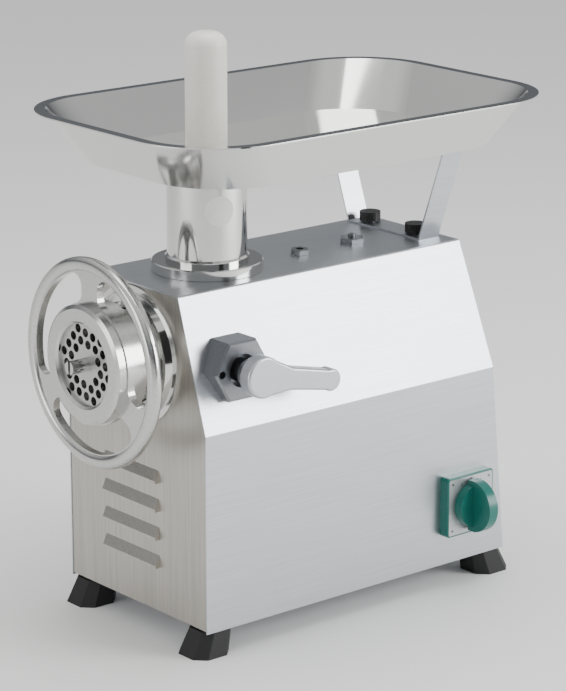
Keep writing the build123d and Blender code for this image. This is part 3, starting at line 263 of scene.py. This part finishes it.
@dataclass
class Cabinet(Assembly):
    """The folded cabinet with its feet, plugs and cable gland."""

    feet: tuple[str, ...] = ("foot_front_left", "foot_front_right",
                             "foot_rear_left", "foot_rear_right")

    def __post_init__(self) -> None:
        """Name the finish of each node."""
        self.finishes = {
            "housing_shell": BRUSHED_SHELL, "front_panel": BRUSHED_PANEL,
            "rear_panel": BRUSHED_SHELL, "base_plate": BRUSHED_SHELL,
            "panel_screws": MACHINED, "foot_screws": MACHINED, "filler_plug": MACHINED,
            "breather_plug": MACHINED, "cable_gland": BLACK_NYLON,
        }
        self.finishes.update({foot: RUBBER for foot in self.feet})


@dataclass
class Head(Assembly):
    """Barrel, auger, knife, plate, handwheel, seat and clamp."""

    def __post_init__(self) -> None:
        """Name the finish of each node."""
        self.finishes = {
            "barrel": CAST_POLISHED, "auger": CAST_POLISHED, "knife": GROUND,
            "cutting_plate": GROUND, "plate_key": MACHINED, "ring_nut": CAST_POLISHED,
            "head_seat": DIE_CAST, "seat_ring": POLISHED, "clamp_boss": MACHINED,
            "clamp_pad": MACHINED, "clamp_screw": MACHINED, "clamp_lever": DIE_CAST,
        }


@dataclass
class Drive(Assembly):
    """Gears, bearings and motor inside the cabinet."""

    def __post_init__(self) -> None:
        """Name the finish of each node."""
        steel = ("bearing_bridge", "spindle_bearing_front", "spindle_bearing_rear",
                 "drive_spindle", "output_gear", "motor_pinion", "middle_shaft",
                 "middle_gear", "motor_shell", "stator_core", "rotor_core", "motor_shaft",
                 "small_bearings", "case_bolts", "fan_cowl")
        cast = ("gearbox_case", "gearbox_cover", "motor_bell_front", "motor_bell_rear")
        self.finishes = {node: MACHINED for node in steel}
        self.finishes.update({node: DIE_CAST for node in cast})
        self.finishes.update({"stator_windings": COPPER, "spindle_seal": RUBBER,
                              "motor_fan": BLACK_NYLON, "run_capacitor": BLACK_NYLON})


@dataclass
class FeedSet(Assembly):
    """Neck, tray, plunger and the tray's bracket."""

    sticker_radius: float = 15.5 * MM
    sticker_height: float = 435.0 * MM
    sticker_turn: float = -20.0
    neck_radius: float = 41.0 * MM
    lift: float = 0.15 * MM
    ring_count: int = 12
    side_count: int = 64
    middle_share: float = 0.02

    def __post_init__(self) -> None:
        """Name the finish of each node."""
        self.finishes = {
            "feed_neck": POLISHED, "tray": POLISHED, "plunger": POLYETHYLENE,
            "tray_bracket": BRUSHED_SHELL, "bracket_washer_left": MACHINED,
            "bracket_washer_right": MACHINED, "bracket_knob_left": BLACK_NYLON,
            "bracket_knob_right": BLACK_NYLON,
        }

    def sticker(self) -> None:
        """A blank round sticker, bent round the neck."""
        low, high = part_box("plunger")
        centre = (low + high) / 2
        ring_count, side_count = self.ring_count, self.side_count
        radius = self.neck_radius + self.lift
        middle = math.radians(self.sticker_turn)
        points, faces = [], []
        for ring in range(ring_count + 1):
            reach = self.sticker_radius * max(ring, self.middle_share) / ring_count
            for side in range(side_count):
                turn = 2 * math.pi * side / side_count
                angle = middle + reach * math.cos(turn) / radius
                points.append(Vector((centre.x + radius * math.cos(angle),
                                      centre.y + radius * math.sin(angle),
                                      self.sticker_height + reach * math.sin(turn))))
        for ring in range(ring_count):
            for side in range(side_count):
                after = (side + 1) % side_count
                faces.append((ring * side_count + side, (ring + 1) * side_count + side,
                              (ring + 1) * side_count + after, ring * side_count + after))
        made = mesh_piece("neck_sticker", points, faces, [BLANK_VINYL], "neck")
        for face in made.data.polygons:
            face.use_smooth = True

    def build(self) -> None:
        """Dress the nodes and add the sticker."""
        super().build()
        self.sticker()


def on_right_side(x: float, centre: Vector) -> Matrix:
    """Place that turns a drawing in XY to face +X, with its middle at centre.

    Args:
        x: Where the drawing lies along X.
        centre: The point whose Y and Z the drawing's origin takes.

    Returns:
        The matrix.
    """
    turn = Matrix(((0, 0, 1, 0), (1, 0, 0, 0), (0, 1, 0, 0), (0, 0, 0, 1)))
    return Matrix.Translation((x, centre.y, centre.z)) @ turn


def from_tree(name: str, tree: bpy.types.NodeTree, values: dict[str, float],
              place: Matrix) -> bpy.types.Mesh:
    """Run a Geometry Nodes tree once and keep its result as a plain mesh.

    Args:
        name: Name of the mesh.
        tree: The tree.
        values: A value for each of its named inputs.
        place: Where the result goes.

    Returns:
        The mesh, with its place in its points.
    """
    carrier = bpy.data.objects.new(name + "_carrier", bpy.data.meshes.new(name + "_carrier"))
    bpy.context.scene.collection.objects.link(carrier)
    modifier = carrier.modifiers.new("tree", "NODES")
    modifier.node_group = tree
    for item in tree.interface.items_tree:
        if item.in_out == "INPUT" and item.name in values:
            modifier[item.identifier] = values[item.name]
    graph = bpy.context.evaluated_depsgraph_get()
    made = bpy.data.meshes.new_from_object(carrier.evaluated_get(graph))
    made.name = name
    made.transform(place)
    carrier.modifiers.clear()
    bpy.data.objects.remove(carrier)
    return made


@dataclass
class SwitchSet(Assembly):
    """Rotary switch with its plate, marks and rivets."""

    rivet_inset: float = 5.0 * MM
    rivet_radius: float = 1.6 * MM
    rivet_height: float = 0.6 * MM
    mark_radius: float = 27.4 * MM
    mark_size: float = 5.0 * MM
    mark_turn: float = 30.0
    mark_thick: float = 0.1 * MM
    rivet_sides: int = 24

    def __post_init__(self) -> None:
        """Name the finish of each node."""
        self.finishes = {"switch_housing": TEAL_ABS, "switch_knob": TEAL_ABS,
                         "switch_plate": LABEL_PLATE, "switch_body": BLACK_NYLON}

    def rivet_tree(self) -> bpy.types.NodeTree:
        """Make the Geometry Nodes tree that sets one rivet on each corner of a square.

        Returns:
            The tree, with the pitch and the rivet's sizes as named inputs.
        """
        tree = bpy.data.node_groups.new("corner_rivets", "GeometryNodeTree")
        for name in ("Pitch", "Head radius", "Head height"):
            tree.interface.new_socket(name, in_out="INPUT", socket_type="NodeSocketFloat")
        tree.interface.new_socket("Geometry", in_out="OUTPUT",
                                  socket_type="NodeSocketGeometry")
        given = add_node(tree, "NodeGroupInput").outputs
        grid = add_node(tree, "GeometryNodeMeshGrid", None,
                        {"Size X": given["Pitch"], "Size Y": given["Pitch"],
                         "Vertices X": 2, "Vertices Y": 2})
        head = add_node(tree, "GeometryNodeMeshCylinder", None,
                        {"Vertices": self.rivet_sides, "Radius": given["Head radius"],
                         "Depth": given["Head height"]})
        copies = add_node(tree, "GeometryNodeInstanceOnPoints", None,
                          {"Points": grid.outputs["Mesh"],
                           "Instance": head.outputs["Mesh"]})
        real = add_node(tree, "GeometryNodeRealizeInstances", None,
                        {"Geometry": copies.outputs["Instances"]})
        dressed = add_node(tree, "GeometryNodeSetMaterial", None,
                           {"Geometry": real.outputs["Geometry"],
                            "Material": MACHINED.build()})
        add_node(tree, "NodeGroupOutput", None, {"Geometry": dressed.outputs["Geometry"]})
        return tree

    def keep(self, name: str, data: bpy.types.Mesh) -> None:
        """Link a finished mesh as a piece of the cabinet.

        Args:
            name: The piece's name.
            data: Its mesh, with its place in its points.
        """
        made = bpy.data.objects.new(name, data)
        bpy.context.scene.collection.objects.link(made)
        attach(made, "cabinet")
        LOG.info("made %s", name)

    def marks(self, face: float, centre: Vector) -> None:
        """Make the three position numbers on the plate.

        Args:
            face: Where the numbers' middle plane lies along X.
            centre: The plate's centre.
        """
        for text, turn in (("2", -self.mark_turn), ("0", 0.0), ("1", self.mark_turn)):
            drawn = bpy.data.curves.new("mark_" + text, "FONT")
            drawn.body = text
            drawn.size = self.mark_size
            drawn.align_x = drawn.align_y = "CENTER"
            drawn.extrude = self.mark_thick / 2
            carrier = bpy.data.objects.new("mark_carrier", drawn)
            bpy.context.scene.collection.objects.link(carrier)
            graph = bpy.context.evaluated_depsgraph_get()
            data = bpy.data.meshes.new_from_object(carrier.evaluated_get(graph))
            bpy.data.objects.remove(carrier)
            angle = math.radians(turn)
            offset = Matrix.Translation((self.mark_radius * math.sin(angle),
                                         self.mark_radius * math.cos(angle), 0))
            data.transform(on_right_side(face, centre) @ offset)
            data.materials.clear()
            data.materials.append(BLACK_INK.build())
            self.keep("switch_mark_" + text, data)

    def build(self) -> None:
        """Dress the nodes, then add rivets and marks."""
        super().build()
        low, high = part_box("switch_plate")
        centre = (low + high) / 2
        pitch = (high.y - low.y) - 2 * self.rivet_inset
        values = {"Pitch": pitch, "Head radius": self.rivet_radius,
                  "Head height": self.rivet_height}
        rivets = from_tree("switch_rivets", self.rivet_tree(), values,
                           on_right_side(high.x, centre))
        self.keep("switch_rivets", rivets)
        self.marks(high.x + self.mark_thick / 2, centre)


@dataclass(frozen=True)
class Lamp:
    """One soft square lamp."""

    name: str
    where: tuple[float, float, float]
    size: float
    watts: float


@dataclass
class Studio:
    """Pale floor, soft light, and the camera."""

    floor_half: float = 6.0
    turn: float = 50.26
    rise: float = 15.77
    distance: float = 2.9043
    lens_mm: float = 150.76
    wall_low: str = "F4F4F4"
    wall_band: str = "5A5E64"
    ceiling: str = "FFFFFF"
    sky_strength: float = 0.95
    card_x: float = 2.2
    card_y: float = -0.1
    card_width: float = 0.5
    card_height: float = 2.6
    ceiling_stop: float = 0.75
    band_stop: float = 0.16
    sensor_mm: float = 36.0
    clip: tuple[float, float] = (0.1, 50.0)
    aim: tuple[float, float, float] = (0.09546, -0.07092, 0.302)
    lamps: tuple[Lamp, ...] = (
        Lamp("key", where=(2.3, 1.8, 1.05), size=1.5, watts=75.0),
        Lamp("front", where=(-0.4, -2.8, 0.9), size=1.6, watts=24.0),
        Lamp("top", where=(0.0, 0.2, 2.6), size=1.6, watts=40.0),
    )

    def floor(self) -> None:
        """A plain floor that isn't part of the object."""
        half = self.floor_half
        corners = [(-half, -half, 0), (half, -half, 0), (half, half, 0), (-half, half, 0)]
        data = bpy.data.meshes.new("floor")
        data.from_pydata(corners, [], [(0, 1, 2, 3)])
        data.materials.append(STUDIO_PAPER.build())
        made = bpy.data.objects.new("floor", data)
        bpy.context.scene.collection.objects.link(made)

    def lamp(self, lamp: Lamp) -> None:
        """Add one lamp that faces the object.

        Args:
            lamp: Its place, size and power.
        """
        light = bpy.data.lights.new(lamp.name, "AREA")
        light.size, light.energy = lamp.size, lamp.watts
        made = bpy.data.objects.new(lamp.name, light)
        made.location = lamp.where
        made.rotation_euler = (Vector(self.aim) - Vector(lamp.where)).to_track_quat(
            "-Z", "Y").to_euler()
        bpy.context.scene.collection.objects.link(made)

    def card(self) -> None:
        """A narrow dark card that only reflections show, for an edge in polished steel."""
        low, high = -self.card_width / 2, self.card_width / 2
        x, y, top = self.card_x, self.card_y, self.card_height
        data = bpy.data.meshes.new("dark_card")
        data.from_pydata([(x, y + low, 0.0), (x, y + high, 0.0), (x, y + high, top),
                          (x, y + low, top)], [], [(0, 1, 2, 3)])
        data.materials.append(BLACK_CARD.build())
        made = bpy.data.objects.new("dark_card", data)
        made.visible_camera = False
        made.visible_shadow = False
        bpy.context.scene.collection.objects.link(made)

    def camera(self) -> None:
        """The camera, aimed along the chosen turn and rise."""
        turn, rise = math.radians(self.turn), math.radians(self.rise)
        back = Vector((math.sin(turn) * math.cos(rise), -math.cos(turn) * math.cos(rise),
                       math.sin(rise)))
        data = bpy.data.cameras.new("camera")
        data.lens, data.sensor_width = self.lens_mm, self.sensor_mm
        data.clip_start, data.clip_end = self.clip
        made = bpy.data.objects.new("camera", data)
        made.location = Vector(self.aim) + back * self.distance
        made.rotation_euler = (-back).to_track_quat("-Z", "Y").to_euler()
        bpy.context.scene.collection.objects.link(made)
        bpy.context.scene.camera = made

    def build(self) -> None:
        """Make the floor, sky, lamps and camera."""
        self.floor()
        self.card()
        world = bpy.data.worlds.new("studio")
        world.use_nodes = True
        tree = world.node_tree
        sky = tree.nodes["Background"]
        place = add_node(tree, "ShaderNodeTexCoord")
        parts = add_node(tree, "ShaderNodeSeparateXYZ", None,
                         {"Vector": place.outputs["Generated"]})
        ramp = add_node(tree, "ShaderNodeValToRGB", None, {"Fac": parts.outputs["Z"]})
        stops = ramp.color_ramp.elements
        stops[0].position, stops[0].color = 0.0, linear(self.wall_low)
        stops[1].position, stops[1].color = self.ceiling_stop, linear(self.ceiling)
        band = stops.new(self.band_stop)
        band.color = linear(self.wall_band)
        tree.links.new(ramp.outputs["Color"], sky.inputs["Color"])
        sky.inputs["Strength"].default_value = self.sky_strength
        bpy.context.scene.world = world
        for lamp in self.lamps:
            self.lamp(lamp)
        self.camera()


def main() -> None:
    """Build every group in order."""
    logging.basicConfig(level=logging.INFO)
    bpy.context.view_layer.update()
    for part in (Cabinet(), Head(), Drive(), FeedSet(), SwitchSet()):
        part.build()
    Studio().build()


if __name__ == "__main__":
    main()
